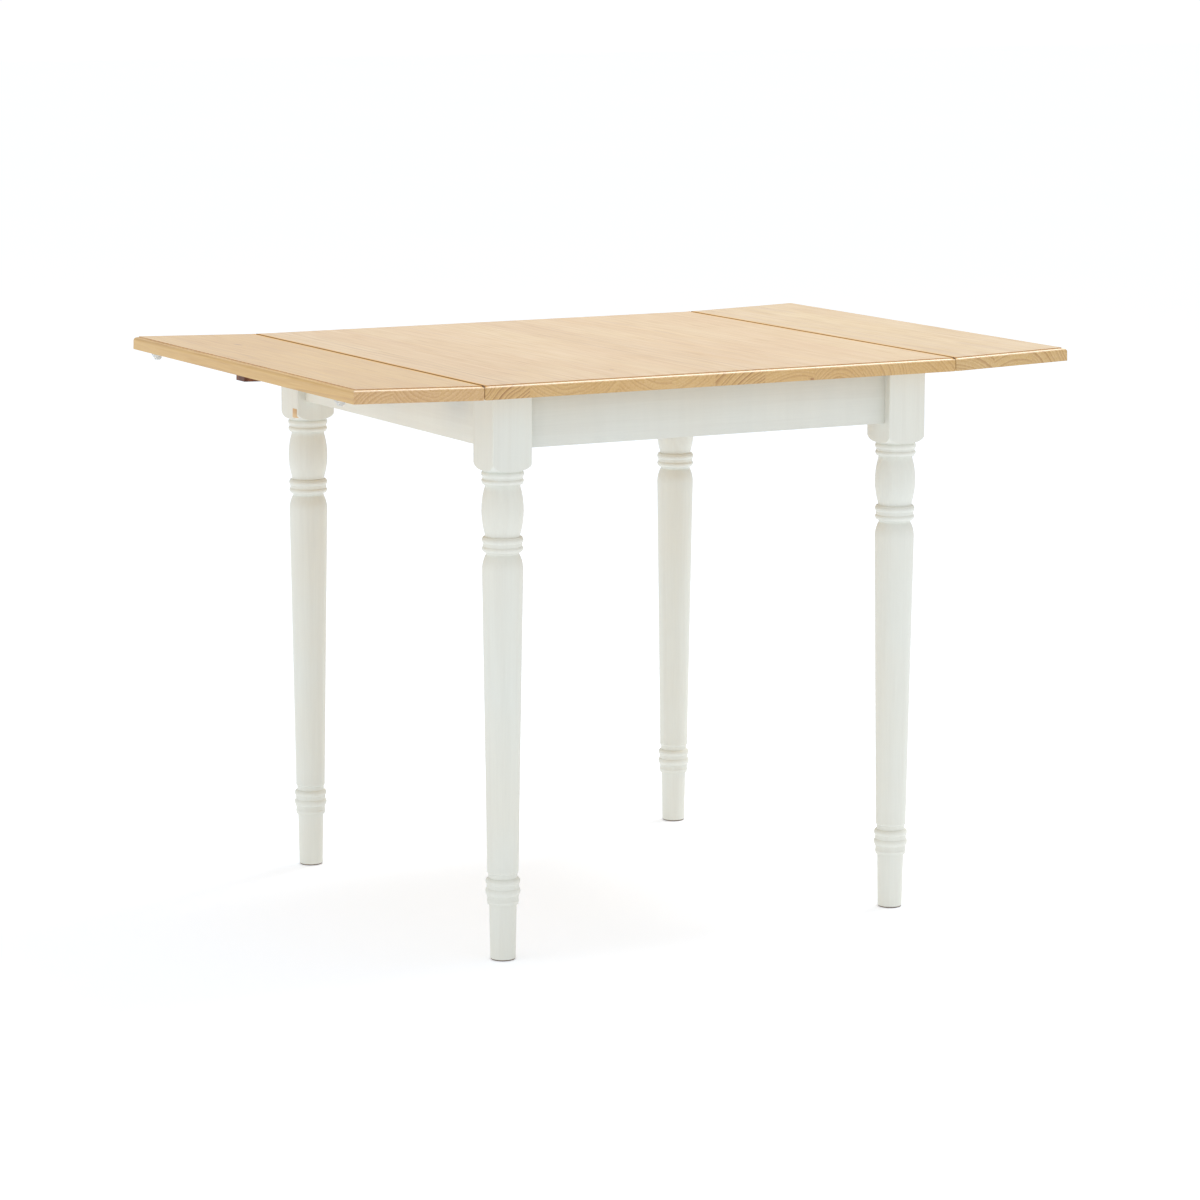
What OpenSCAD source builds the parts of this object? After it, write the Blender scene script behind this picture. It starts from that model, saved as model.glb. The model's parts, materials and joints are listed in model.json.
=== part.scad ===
// Drop-leaf table: a fixed centre top on a frame of aprons and four turned legs, with a
// hinged leaf at each end. A leaf hangs on two back-flap hinges, and a sliding steel stay
// between the end apron and the leaf holds it up.
// Frame: origin on the floor under the middle of the table, +X along the opened length,
// +Y towards the back, +Z up. The leaves are drawn raised. Millimetres and degrees.

/* [Table top] */
// Height of the centre top's upper face above the floor
table_height = 750; // [735:1:780]
// Length of the centre top, from one hinge axis to the other
top_length = 700; // [680:1:800]
// Depth of the centre top and of the leaves
top_depth = 710; // [680:1:800]
// Thickness of the centre top and of the leaves
board_thickness = 18; // [17:0.5:20]
// Width of a leaf, from its hinge axis to its outer edge
leaf_width = 180; // [180:0.5:210]
// Tilt of a raised leaf above the level
leaf_rise = 1.6; // [0:0.1:3]

/* [Edge moulding] */
// Distance of the moulding's step from the edge
edge_step_in = 5.6; // [5:0.1:9]
// Depth of the moulding's step
edge_step_drop = 1.1; // [0.5:0.1:2.5]
// Radius of the moulding's quarter round
edge_round = 4.8; // [3:0.1:5]
// Width of the eased corner beside a hinge joint
joint_ease = 1; // [0.2:0.1:1.2]

/* [Legs] */
// Width of a leg's square head
leg_square = 56; // [54:1:58]
// Radius of the eased long corners of a leg's head
leg_corner_round = 2; // [0.5:0.5:4]
// Distance of a leg's head from the end of the centre top
leg_inset_x = 27; // [26:1:32]
// Distance of a leg's head from the front or back edge of the top
leg_inset_y = 31; // [20:1:50]
// Radius of the round below the square head
pommel_round = 14; // [10:1:16]

/* [Aprons] */
// Height of the apron rails
apron_height = 69.5; // [60:0.5:74]
// Thickness of the apron rails
apron_thickness = 18; // [16:1:20]
// Distance of an apron's outer face behind the legs' outer faces
apron_setback = 12; // [6:1:14]
// Length of an apron's tenon inside a leg
tenon_length = 16; // [10:1:18]

/* [Leaf hinges] */
// Distance of the hinge axis below the underside of the top
hinge_drop = 3.5; // [3.3:0.1:4]
// Distance of each hinge from the middle of the depth
hinge_spacing = 200; // [150:5:240]
// Length of a hinge along its axis
hinge_length = 56; // [50:1:70]
// Radius of a hinge knuckle
knuckle_radius = 3; // [2.8:0.1:3]
// Radius of a hinge pin
pin_radius = 1.5; // [1.2:0.1:1.7]

/* [Leaf stays] */
// Distance of the stay's pivot inboard of the hinge axis
stay_pivot_in = 16; // [14:1:18]
// Distance of the stay's pivot below the hinge axis
stay_pivot_down = 16; // [14:1:18]
// Distance of the roller from the hinge axis on a raised leaf
stay_reach = 117; // [110:1:120]
// Width of the stay's track
track_width = 26; // [26:1:36]
// Depth of the stay's track
track_depth = 7.5; // [7:0.1:9]
// Distance of the track's inner end from the hinge axis
track_start = 72; // [66:1:84]
// Distance of the track's outer end from the hinge axis
track_end = 175; // [168:1:175]

/* [Hidden] */
$fn = 64;
running = 0.05;          // radial clearance of a pin that turns in its hole
over = 1;                // overrun of a cutter past the surface that it cuts
hinge_ease = 0.4;        // gap between the centre top and a hinge axis
PINE = [0.91, 0.78, 0.6];
RAW_PINE = [0.88, 0.74, 0.55];
PAINT = [0.93, 0.93, 0.91];
BRONZE = [0.42, 0.3, 0.22];
ZINC = [0.75, 0.76, 0.77];
NYLON = [0.12, 0.11, 0.1];
SILICONE = [0.86, 0.87, 0.85];

board_bottom = table_height - board_thickness;
hinge_x = top_length / 2;
hinge_z = board_bottom - hinge_drop;
leg_half = leg_square / 2;
leg_x = hinge_x - leg_inset_x - leg_half;
leg_y = top_depth / 2 - leg_inset_y - leg_half;
apron_bottom = board_bottom - apron_height;

CORNERS = [["front_left", -1, -1], ["front_right", 1, -1], ["back_left", -1, 1], ["back_right", 1, 1]];
SIDES = [["left", -1], ["right", 1]];
DEPTHS = [["front", -1], ["back", 1]];
HINGES = [for (s = SIDES, d = DEPTHS) [str(s[0], "_", d[0], "_hinge"), s[1], d[1]]];
APRONS = [["front", -90], ["back", 90], ["left", 180], ["right", 0]];

// ---- placing ----

// Children are drawn for the right-hand side, and mirrored for the left
module on_side(side) {
    mirror([side < 0 ? 1 : 0, 0, 0]) children();
}

// Leaf frame: origin on the hinge axis, +X out along the leaf, +Z square to its face
module on_leaf(side) {
    on_side(side) translate([hinge_x, 0, hinge_z]) rotate([0, -leaf_rise, 0]) children();
}

// Corner frame: origin on a leg's axis, +X and +Y towards the middle of the table
module at_leg(side_x, side_y) {
    translate([side_x * leg_x, side_y * leg_y, 0])
        mirror([0, side_y > 0 ? 1 : 0, 0]) mirror([side_x > 0 ? 1 : 0, 0, 0]) children();
}

// Apron frame: origin under the middle of an apron's outer face, +X square out of it
module at_apron(turn) {
    distance = (turn % 180 == 0 ? leg_x : leg_y) + leg_half - apron_setback;
    rotate([0, 0, turn]) translate([distance, 0, 0]) children();
}

// ---- screws ----

// Countersunk screw, its flat head at z = 0 and its point down
module screw_body(head, shank, length) {
    slope = head - shank;
    translate([0, 0, -slope]) cylinder(r1 = shank, r2 = head, h = slope);
    translate([0, 0, -(length - shank)]) cylinder(r = shank, h = length - shank - slope);
    translate([0, 0, -length]) cylinder(r1 = 0.2, r2 = shank, h = shank);
}

module screw(head, shank, length) {
    recess = [1.2 * head, 0.3 * head, 0.5 * head];
    color(BRONZE) difference() {
        screw_body(head, shank, length);
        for (turn = [0, 90]) rotate([0, 0, turn])
            translate([-recess[0] / 2, -recess[1] / 2, -recess[2]])
                cube([recess[0], recess[1], 2 * recess[2]]);
    }
}

// ---- table top ----

// Waste beside an edge that runs along X, faces -Y and has its upper corner at the origin
module moulding_waste(length) {
    rotate([90, 0, 90]) linear_extrude(height = length, center = true) {
        translate([-over, -edge_step_drop]) square([edge_step_in + over, edge_step_drop + over]);
        difference() {
            translate([-over, -edge_step_drop - edge_round]) square([edge_round + over, edge_round + 0.01]);
            translate([edge_round, -edge_step_drop - edge_round]) circle(r = edge_round);
        }
    }
}

// Waste of an eased corner that runs along Y through the origin
module ease_waste() {
    side = joint_ease * sqrt(2);
    rotate([0, 45, 0]) cube([side, top_depth + 2 * over, side], center = true);
}

module front_and_back_mouldings(middle, length, height) {
    for (d = DEPTHS) translate([middle, d[1] * top_depth / 2, height])
        rotate([0, 0, d[1] < 0 ? 0 : 180]) moulding_waste(length + 2 * over);
}

module centre_top() {
    half = hinge_x - hinge_ease;
    color(PINE) difference() {
        translate([-half, -top_depth / 2, board_bottom]) cube([2 * half, top_depth, board_thickness]);
        front_and_back_mouldings(0, 2 * half, table_height);
        for (side = [-1, 1], z = [board_bottom, table_height]) translate([side * half, 0, z]) ease_waste();
        for (h = HINGES) hinge_screw_places(h[1], h[2], HINGE_TOP_HOLES, false) plate_screw_body();
        for (a = APRONS) cleat_screw_places(a[1]) cleat_screw_body();
    }
}

leaf_start = 1;          // distance of the leaf board from its hinge axis

module leaf(side) {
    span = leaf_width - leaf_start;
    color(PINE) on_leaf(side) difference() {
        translate([leaf_start, -top_depth / 2, hinge_drop]) cube([span, top_depth, board_thickness]);
        front_and_back_mouldings(leaf_start + span / 2, span, hinge_drop + board_thickness);
        translate([leaf_width, 0, hinge_drop + board_thickness]) rotate([0, 0, 90])
            moulding_waste(top_depth + 2 * over);
        for (z = [hinge_drop, hinge_drop + board_thickness]) translate([leaf_start, 0, z]) ease_waste();
        leaf_screw_places() plate_screw_body();
    }
}

// ---- legs ----

HEAD_BOTTOM = 635;       // height of the lowest point of a leg's square head
GLIDE = 1.6;             // thickness of a foot glide

// Turned beads: [height of the middle, outer radius, half height]
BEADS = [
    [629.7, 27.3, 5.2], [620.7, 27, 3.9],
    [545, 26.6, 5.2], [534, 26.3, 4.7],
    [115.5, 20.4, 3.5], [102.5, 22.5, 5], [89.5, 22.7, 6.5], [77, 20.7, 4]
];

// Straight or tapering lengths: [low height, radius there, high height, radius there]
STEMS = [
    [613, 22.7, 617, 22.7], [617, 25.6, 640, 25.6],
    [526, 21.3, 553, 22.7], [531, 25, 549, 25.2],
    [116, 20.3, 507, 26.4],
    [104, 18.8, 116, 18.8], [84, 21, 106, 21], [73, 20.2, 85, 20.2],
    [GLIDE, 16.4, 74, 17.8]
];

// Full round swellings: [low height, high height, radius at the ends, radius at the middle]
SWELLINGS = [[552, 614, 22.5, 27.1], [487, 527, 21.3, 26.4]];

module swelling(low, high, end_radius, middle_radius) {
    half = (high - low) / 2;
    rise = middle_radius - end_radius;
    arc = (half * half + rise * rise) / (2 * rise);
    intersection() {
        translate([middle_radius - arc, (low + high) / 2]) circle(r = arc, $fn = 180);
        translate([0, low]) square([middle_radius + over, high - low]);
    }
}

module turned_outline() {
    for (b = BEADS) translate([b[1] - b[2], b[0]]) circle(r = b[2]);
    for (s = STEMS) polygon([[0, s[0]], [s[1], s[0]], [s[3], s[2]], [0, s[2]]]);
    for (s = SWELLINGS) swelling(s[0], s[1], s[2], s[3]);
}

module rounded_square(size, round) {
    square([size, size - 2 * round], center = true);
    square([size - 2 * round, size], center = true);
    for (x = [-1, 1], y = [-1, 1]) translate([x, y] * (size / 2 - round)) circle(r = round);
}

// The square head ends below in a pommel, where the lathe has rounded its corners.
// proud grows the head by that much all round.
module leg_head(proud = 0) {
    core = leg_half * sqrt(2) + 0.4 - pommel_round;
    shoulder = HEAD_BOTTOM + pommel_round;
    intersection() {
        translate([0, 0, HEAD_BOTTOM - over]) linear_extrude(height = board_bottom - HEAD_BOTTOM + over)
            rounded_square(leg_square + 2 * proud, leg_corner_round + proud);
        rotate_extrude() {
            translate([0, HEAD_BOTTOM - proud]) square([core, pommel_round + proud]);
            translate([core, shoulder]) circle(r = pommel_round + proud);
            translate([0, shoulder])
                square([core + pommel_round + proud, board_bottom - shoulder + over]);
        }
    }
}

// Waste of the two tenons that meet in a leg, in the corner frame
module mortise_waste() {
    middle = apron_setback + apron_thickness / 2 - leg_half;
    for (swap = [0, 1]) mirror([swap, -swap, 0])
        translate([leg_half - tenon_length, middle - tenon_thickness / 2, apron_bottom + tenon_shoulder])
            cube([tenon_length + over, tenon_thickness, apron_height - 2 * tenon_shoulder]);
}

module leg(side_x, side_y) {
    color(PAINT) difference() {
        at_leg(side_x, side_y) difference() {
            union() {
                leg_head();
                rotate_extrude() turned_outline();
            }
            mortise_waste();
            hanger_place() hanger_bolt_body();
            glide_nail();
        }
        if (side_x < 0 && side_y > 0) plug_body();
    }
}

// Bare wooden plug in the outer face of the back left leg, trimmed to the head's shape
PLUG = [10, 13.5, 12.5];
PLUG_PROUD = 0.3;        // height of the plug above the face
PLUG_IN = 2.5;           // distance of the plug behind the leg's front arris
PLUG_RISE = 3.5;         // height of the plug above the head's lowest point

module plug_body() {
    intersection() {
        at_leg(-1, 1) leg_head(PLUG_PROUD);
        translate([-leg_x - leg_half - over, leg_y - leg_half + PLUG_IN, HEAD_BOTTOM + PLUG_RISE])
            cube(PLUG);
    }
}

module leg_plug() {
    color(RAW_PINE) plug_body();
}

GLIDE_RADIUS = 16;
NAIL = [1.2, 12, 2.5];   // radius of a glide's nail, length of its shank, length of its point

module glide_nail() {
    translate([0, 0, GLIDE]) cylinder(r = NAIL[0], h = NAIL[1]);
    translate([0, 0, GLIDE + NAIL[1]]) cylinder(r1 = NAIL[0], r2 = 0.2, h = NAIL[2]);
}

module foot_glide(side_x, side_y) {
    edge = 0.8;
    color(NYLON) at_leg(side_x, side_y) {
        rotate_extrude() {
            square([GLIDE_RADIUS - edge, GLIDE]);
            translate([0, edge]) square([GLIDE_RADIUS, GLIDE - edge]);
            translate([GLIDE_RADIUS - edge, edge]) circle(r = edge);
        }
        glide_nail();
    }
}

// ---- frame under the top ----

tenon_thickness = 8;
tenon_shoulder = 8;      // height of apron left above and below a tenon
tenon_face = -(apron_thickness + tenon_thickness) / 2;

module apron(turn) {
    along = turn % 180 == 0 ? leg_y - leg_half : leg_x - leg_half;
    color(PAINT) difference() {
        at_apron(turn) union() {
            translate([-apron_thickness, -along, apron_bottom])
                cube([apron_thickness, 2 * along, apron_height]);
            translate([tenon_face, -along - tenon_length, apron_bottom + tenon_shoulder])
                cube([tenon_thickness, 2 * (along + tenon_length), apron_height - 2 * tenon_shoulder]);
        }
        for (c = CORNERS) brace_screw_places(c[1], c[2]) brace_screw_body();
        cleat_screw_places(turn) cleat_screw_body();
        for (s = SIDES) bracket_screw_places(s[1]) plate_screw_body();
    }
}

BRACE_GAP = 2;           // gap between a corner brace and the leg's inner corner
BRACE_THICKNESS = 20;
BRACE_HEIGHT = 44;
brace_near = leg_half * sqrt(2) + BRACE_GAP;
brace_far = brace_near + BRACE_THICKNESS;
brace_low = apron_bottom + (apron_height - BRACE_HEIGHT) / 2;

module corner_brace(side_x, side_y) {
    toe = (apron_setback + apron_thickness - leg_half) * sqrt(2);
    color(RAW_PINE) difference() {
        at_leg(side_x, side_y) rotate([0, 0, 45]) translate([0, 0, brace_low])
            linear_extrude(height = BRACE_HEIGHT) polygon([
                [brace_near, toe - brace_near], [brace_far, toe - brace_far],
                [brace_far, brace_far - toe], [brace_near, brace_near - toe]
            ]);
        at_leg(side_x, side_y) hanger_place() hanger_bolt_body();
        brace_screw_places(side_x, side_y) brace_screw_body();
    }
}

// Hanger bolt frame: origin on the brace's inner face, +Z towards the middle of the table
module hanger_place() {
    rotate([0, 0, 45]) translate([brace_far, 0, brace_low + BRACE_HEIGHT / 2])
        rotate([0, 90, 0]) children();
}

BOLT_RADIUS = 4;
BOLT_IN_LEG = 38;
WASHER = 1.6;
NUT = 6.5;
NUT_CORNER = 7.5;        // distance of a nut's corners from its axis

module hanger_bolt_body() {
    deep = BRACE_THICKNESS + BRACE_GAP + BOLT_IN_LEG;
    stand = WASHER + NUT + 3;
    translate([0, 0, -deep]) cylinder(r = BOLT_RADIUS, h = deep + stand);
    translate([0, 0, stand]) cylinder(r1 = BOLT_RADIUS, r2 = BOLT_RADIUS - 1, h = 1);
}

module hanger_washer() {
    difference() {
        cylinder(r = 9, h = WASHER);
        translate([0, 0, -over]) cylinder(r = BOLT_RADIUS, h = WASHER + 2 * over);
    }
}

module hanger_nut() {
    translate([0, 0, WASHER]) difference() {
        intersection() {
            cylinder(r = NUT_CORNER, h = NUT, $fn = 6);
            cylinder(r1 = NUT_CORNER, r2 = NUT_CORNER + NUT, h = NUT);
            cylinder(r1 = NUT_CORNER - 0.4 + NUT, r2 = NUT_CORNER - 0.4, h = NUT);
        }
        translate([0, 0, -over]) cylinder(r = BOLT_RADIUS, h = NUT + 2 * over);
    }
}

module at_hangers() {
    color(ZINC) for (c = CORNERS) at_leg(c[1], c[2]) hanger_place() children();
}

WOOD_SCREW = [4, 2];     // radii of a wood screw's head and shank

// Place of a brace screw's head from the leg's axis, and its length
BRACE_SCREW = [70, 13, 24];

// Two screws a brace, square into the two aprons that it joins
module brace_screw_places(side_x, side_y) {
    at_leg(side_x, side_y) for (swap = [0, 1]) mirror([swap, -swap, 0])
        translate([BRACE_SCREW[0], BRACE_SCREW[1], brace_low + BRACE_HEIGHT / 2])
            rotate([-90, 0, 0]) children();
}

module brace_screw_body() {
    screw_body(WOOD_SCREW[0], WOOD_SCREW[1], BRACE_SCREW[2]);
    cylinder(r = WOOD_SCREW[0], h = BRACE_SCREW[1] - 1);
}

module brace_screws() {
    for (c = CORNERS) brace_screw_places(c[1], c[2]) screw(WOOD_SCREW[0], WOOD_SCREW[1], BRACE_SCREW[2]);
}

CLEAT = [22, 300, 22];   // thickness, length and height of a cleat

// Distances of a cleat's screws from its middle, and their length
CLEAT_SCREWS = [120, 80, 34];

module top_cleat(turn) {
    color(RAW_PINE) difference() {
        at_apron(turn) translate([-apron_thickness - CLEAT[0], -CLEAT[1] / 2, board_bottom - CLEAT[2]])
            cube(CLEAT);
        cleat_screw_places(turn) cleat_screw_body();
    }
}

// Two screws a cleat up into the top, and two out into the apron
module cleat_screw_places(turn) {
    at_apron(turn) for (side = [-1, 1]) {
        translate([-apron_thickness - CLEAT[0] / 2, side * CLEAT_SCREWS[0], board_bottom - CLEAT[2]])
            rotate([180, 0, 0]) children();
        translate([-apron_thickness - CLEAT[0], side * CLEAT_SCREWS[1], board_bottom - CLEAT[2] / 2])
            rotate([0, -90, 0]) children();
    }
}

module cleat_screw_body() {
    screw_body(WOOD_SCREW[0], WOOD_SCREW[1], CLEAT_SCREWS[2]);
}

module cleat_screws() {
    for (a = APRONS) cleat_screw_places(a[1]) screw(WOOD_SCREW[0], WOOD_SCREW[1], CLEAT_SCREWS[2]);
}

// ---- leaf hinges ----

PLATE = 2;               // thickness of a hinge plate
HINGE_GAP = 0.4;         // gap between neighbouring knuckles
KNUCKLES = 5;
TOP_PLATE_REACH = 31;
LEAF_PLATE_REACH = 44;
HINGE_TOP_HOLES = [[-11, -20], [-11, 20], [-23, 0]];
HINGE_LEAF_HOLES = [[14, -20], [14, 20], [35, 0]];
knuckle_pitch = (hinge_length + HINGE_GAP) / KNUCKLES;

module plate_screw_body() {
    screw_body(3.4, 1.7, 14);
}

module plate_screw() {
    screw(3.4, 1.7, 14);
}

// One hinge plate in the hinge frame, reaching along +X, with every other knuckle
module hinge_plate(reach, first, pin_hole) {
    plate_low = hinge_drop - PLATE;
    root = knuckle_radius + 0.6;
    difference() {
        union() {
            translate([root, -hinge_length / 2, plate_low]) linear_extrude(height = PLATE)
                plate_outline(reach - root);
            for (k = [first : 2 : KNUCKLES - 1])
                translate([0, -hinge_length / 2 + k * knuckle_pitch, 0]) {
                    rotate([-90, 0, 0]) cylinder(r = knuckle_radius, h = knuckle_pitch - HINGE_GAP);
                    translate([0, 0, plate_low])
                        cube([root + over, knuckle_pitch - HINGE_GAP, knuckle_radius - plate_low]);
                }
        }
        rotate([90, 0, 0]) cylinder(r = pin_hole, h = hinge_length + 2 * over, center = true);
    }
}

// Plate with its two outer corners rounded, from the knuckle side at x = 0
module plate_outline(reach) {
    round = 6;
    square([reach - round, hinge_length]);
    translate([0, round]) square([reach, hinge_length - 2 * round]);
    for (y = [round, hinge_length - round]) translate([reach - round, y]) circle(r = round);
}

// Screw places of one hinge, with each screw's point up into the wood
module hinge_screw_places(side, depth, holes, leaf_side) {
    for (h = holes) {
        place = [h[0], h[1] + depth * hinge_spacing, hinge_drop - PLATE];
        if (leaf_side) translate(place) rotate([180, 0, 0]) children();
        else on_side(side) translate([hinge_x, 0, hinge_z] + place) rotate([180, 0, 0]) children();
    }
}

module hinge_top_plate(side, depth) {
    color(BRONZE) difference() {
        on_side(side) translate([hinge_x, depth * hinge_spacing, hinge_z]) mirror([1, 0, 0])
            hinge_plate(TOP_PLATE_REACH, 0, pin_radius);
        hinge_screw_places(side, depth, HINGE_TOP_HOLES, false) plate_screw_body();
    }
}

module hinge_leaf_plate(side, depth) {
    color(BRONZE) on_leaf(side) difference() {
        translate([0, depth * hinge_spacing, 0]) hinge_plate(LEAF_PLATE_REACH, 1, pin_radius + running);
        hinge_screw_places(side, depth, HINGE_LEAF_HOLES, true) plate_screw_body();
    }
}

module hinge_pin(side, depth) {
    head = [2.3, 0.9];
    color(BRONZE) on_side(side) translate([hinge_x, depth * hinge_spacing, hinge_z]) rotate([90, 0, 0]) {
        cylinder(r = pin_radius, h = hinge_length, center = true);
        for (end = [0, 1]) mirror([0, 0, end]) translate([0, 0, hinge_length / 2])
            cylinder(r1 = head[0], r2 = head[0] - 0.6, h = head[1]);
    }
}

// ---- leaf stays ----

TRACK_WALL = 1.5;
FLANGE = 2;              // thickness of the arm's two flanges
ARM_INNER = 7.5;         // half of the gap between the flanges
ARM_EYE = 6.5;
ARM_TIP = 2.6;
EAR_INNER = 4.8;         // half of the gap between the bracket's ears
RIVET_RADIUS = 3;
ROLLER_RADIUS = 2.9;
ROLLER_PIN = 1.4;
roller_w = hinge_drop - TRACK_WALL - ROLLER_RADIUS - 0.3;

// Places in the upright plane of the stay, from the hinge axis
stay_pivot = [-stay_pivot_in, -stay_pivot_down];
stay_roller = [
    stay_reach * cos(leaf_rise) - roller_w * sin(leaf_rise),
    stay_reach * sin(leaf_rise) + roller_w * cos(leaf_rise)
];
stay_length = norm(stay_roller - stay_pivot);
stay_slope = atan2(stay_roller[1] - stay_pivot[1], stay_roller[0] - stay_pivot[0]);

// Stay frame: origin at the pivot, +X along the arm, +Y up and +Z towards the front
module on_stay(side, slope) {
    on_side(side) translate([hinge_x + stay_pivot[0], 0, hinge_z + stay_pivot[1]])
        rotate([90, -slope, 0]) children();
}

BASE = [2, 40, 34];      // thickness, width and height of the bracket's base plate
EAR_ROOT = 13;           // half height of an ear where it leaves the base plate
BASE_SCREWS = [14, 10];  // distances of the bracket's screws from its middle
base_x = leg_x + leg_half - apron_setback;

module bracket(side) {
    root = base_x + 1 - hinge_x - stay_pivot[0];
    color(BRONZE) difference() {
        union() {
            on_side(side) translate([base_x, -BASE[1] / 2, hinge_z + stay_pivot[1] - BASE[2] / 2])
                cube(BASE);
            on_stay(side, 0) for (end = [0, 1]) mirror([0, 0, end]) translate([0, 0, EAR_INNER])
                linear_extrude(height = FLANGE) {
                    circle(r = ARM_EYE);
                    polygon([[0, ARM_EYE], [root, EAR_ROOT], [root, -EAR_ROOT], [0, -ARM_EYE]]);
                }
        }
        on_stay(side, 0) cylinder(r = RIVET_RADIUS, h = 60, center = true);
        bracket_screw_places(side) plate_screw_body();
    }
}

module bracket_screw_places(side) {
    middle = [base_x + BASE[0], 0, hinge_z + stay_pivot[1]];
    for (y = [-1, 1], z = [-1, 1])
        on_side(side) translate(middle + [0, y * BASE_SCREWS[0], z * BASE_SCREWS[1]])
            rotate([0, 90, 0]) children();
}

module stay_rivet(side) {
    half = ARM_INNER + FLANGE + HINGE_GAP;
    color(BRONZE) on_stay(side, 0) {
        cylinder(r = RIVET_RADIUS, h = 2 * half, center = true);
        for (end = [0, 1]) mirror([0, 0, end]) translate([0, 0, half]) {
            cylinder(r = 5, h = 0.8);
            translate([0, 0, 0.8]) cylinder(r1 = 5, r2 = 3.6, h = 1);
        }
    }
}

// Half width of the arm at a distance from its pivot
function arm_half(x) = ARM_EYE + (ARM_TIP - ARM_EYE) * x / stay_length;

module arm_outline() {
    circle(r = ARM_EYE);
    translate([stay_length, 0]) circle(r = ARM_TIP);
    polygon([[0, ARM_EYE], [stay_length, ARM_TIP], [stay_length, -ARM_TIP], [0, -ARM_EYE]]);
}

// Pressed steel channel: two flanges joined by a web along their lower edges
module stay_arm(side) {
    start = 18;
    end = stay_length - 10;
    step = 0.2;          // height of the web's underside above the flanges' lower edges
    thick = 1.6;
    color(BRONZE) on_stay(side, stay_slope) difference() {
        union() {
            for (half = [0, 1]) mirror([0, 0, half]) translate([0, 0, ARM_INNER])
                linear_extrude(height = FLANGE) arm_outline();
            linear_extrude(height = 2 * ARM_INNER + FLANGE, center = true) polygon([
                [start, step - arm_half(start)], [end, step - arm_half(end)],
                [end, step + thick - arm_half(end)], [start, step + thick - arm_half(start)]
            ]);
        }
        cylinder(r = RIVET_RADIUS + running, h = 60, center = true);
        translate([stay_length, 0, 0]) cylinder(r = ROLLER_PIN, h = 60, center = true);
    }
}

module stay_roller(side) {
    on_stay(side, stay_slope) translate([stay_length, 0, 0]) {
        color(ZINC) {
            cylinder(r = ROLLER_PIN, h = 2 * (ARM_INNER + FLANGE), center = true);
            for (end = [0, 1]) mirror([0, 0, end]) translate([0, 0, ARM_INNER + FLANGE])
                cylinder(r1 = 2.3, r2 = 1.7, h = 0.8);
        }
        color(NYLON) difference() {
            cylinder(r = ROLLER_RADIUS, h = 2 * ARM_INNER - 0.6, center = true);
            cylinder(r = ROLLER_PIN, h = 2 * ARM_INNER, center = true);
        }
    }
}

TRACK_HOLES = [track_start + 8, track_end - 8];

// Channel open below and at its inner end, and closed at its outer end
module stay_track(side) {
    span = track_end - track_start;
    low = hinge_drop - track_depth;
    color(BRONZE) on_leaf(side) difference() {
        translate([track_start, -track_width / 2, low]) cube([span, track_width, track_depth]);
        translate([track_start - over, TRACK_WALL - track_width / 2, low - over])
            cube([span - TRACK_WALL + over, track_width - 2 * TRACK_WALL, track_depth - TRACK_WALL + over]);
        track_screw_places() plate_screw_body();
    }
}

module track_screw_places() {
    for (u = TRACK_HOLES) translate([u, 0, hinge_drop - TRACK_WALL]) rotate([180, 0, 0]) children();
}

// All screw places of one leaf, in the leaf frame
module leaf_screw_places() {
    for (d = DEPTHS) hinge_screw_places(1, d[1], HINGE_LEAF_HOLES, true) children();
    track_screw_places() children();
}

module leaf_screws(side) {
    on_leaf(side) leaf_screw_places() plate_screw();
}

module frame_fitting_screws() {
    for (h = HINGES) hinge_screw_places(h[1], h[2], HINGE_TOP_HOLES, false) plate_screw();
    for (s = SIDES) bracket_screw_places(s[1]) plate_screw();
}

// Clear stick-on bumper under a leaf's outer corner. The front one sits a little outside
// the legs' line, and the back one a little inside it.
BUMPER = [8, 4.5, 8];    // radius on the leaf, radius at the tip, height
BUMPER_IN = 8.5;         // distance of its middle from the leaf's outer edge

module leaf_bumper(side, depth) {
    round = 1.5;
    place = [leaf_width - BUMPER_IN, depth < 0 ? -leg_y - 4 : leg_y - 8, hinge_drop];
    color(SILICONE) on_leaf(side) translate(place) mirror([0, 0, 1])
        rotate_extrude() {
            polygon([
                [0, 0], [BUMPER[0], 0], [BUMPER[0], 1.5], [BUMPER[1], BUMPER[2] - round],
                [BUMPER[1] - round, BUMPER[2]], [0, BUMPER[2]]
            ]);
            translate([BUMPER[1] - round, BUMPER[2] - round]) circle(r = round);
        }
}

// ---- drawing ----

centre_top();
leaf(-1);  // left_leaf
leaf(1);  // right_leaf
for (c = CORNERS) {
    leg(c[1], c[2]);
    corner_brace(c[1], c[2]);
    foot_glide(c[1], c[2]);
}
for (a = APRONS) {
    apron(a[1]);
    top_cleat(a[1]);
}
for (s = SIDES, d = DEPTHS)
    leaf_bumper(s[1], d[1]);
for (h = HINGES) {
    hinge_top_plate(h[1], h[2]);
    hinge_leaf_plate(h[1], h[2]);
    hinge_pin(h[1], h[2]);
}
for (s = SIDES) {
    bracket(s[1]);
    stay_rivet(s[1]);
    stay_arm(s[1]);
    stay_roller(s[1]);
    stay_track(s[1]);
}
at_hangers() hanger_bolt_body();  // hanger_bolts
at_hangers() hanger_washer();  // hanger_washers
at_hangers() hanger_nut();  // hanger_nuts
brace_screws();
cleat_screws();
frame_fitting_screws();
leaf_screws(-1);  // left_leaf_screws
leaf_screws(1);  // right_leaf_screws
leg_plug();
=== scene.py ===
import json
from collections import namedtuple
from math import cos, radians, sin

import bpy
from mathutils import Matrix, Vector


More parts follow.
